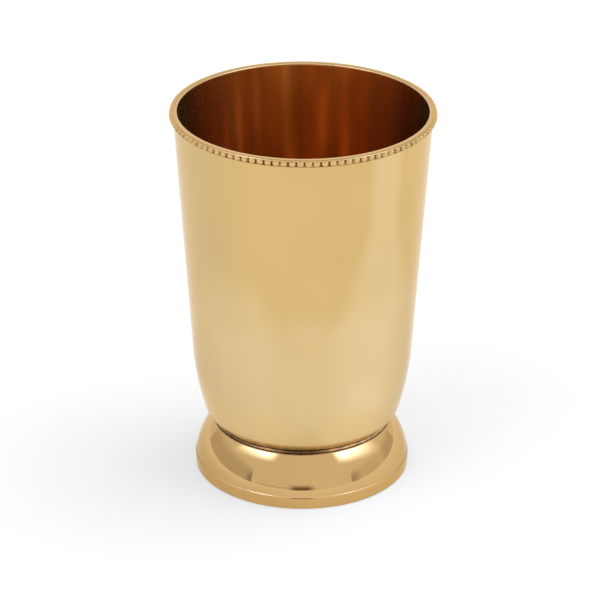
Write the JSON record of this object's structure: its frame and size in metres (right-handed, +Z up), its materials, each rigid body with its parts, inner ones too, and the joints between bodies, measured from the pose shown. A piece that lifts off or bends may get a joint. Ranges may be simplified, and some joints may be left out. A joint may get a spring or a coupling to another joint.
{
  "type": "footed tumbler",
  "caption": "Tapered metal drinking tumbler with a beaded rim, brazed onto a low hollow domed foot; open at the top, stands on a flat rolled base ring.",
  "frame": {"origin": "centre of the circle that the foot rests on, at the level of the surface below", "axes": "+Z up along the axis that the tumbler was turned on, from foot to lip; -Y is the side that the picture shows"},
  "size_m": [0.082, 0.082, 0.1206],
  "materials": {
    "cup_brass": "soft satin polish, spun",
    "rim_brass": "polished beads with dark notches",
    "foot_brass": "bright mirror polish",
    "braze_alloy": "dull, darkened braze"
  },
  "bodies": {
    "root": {"cup_body": "cup_brass", "beaded_rim": "rim_brass", "foot": "foot_brass", "neck_braze_ring": "braze_alloy"}
  },
  "joints": []
}
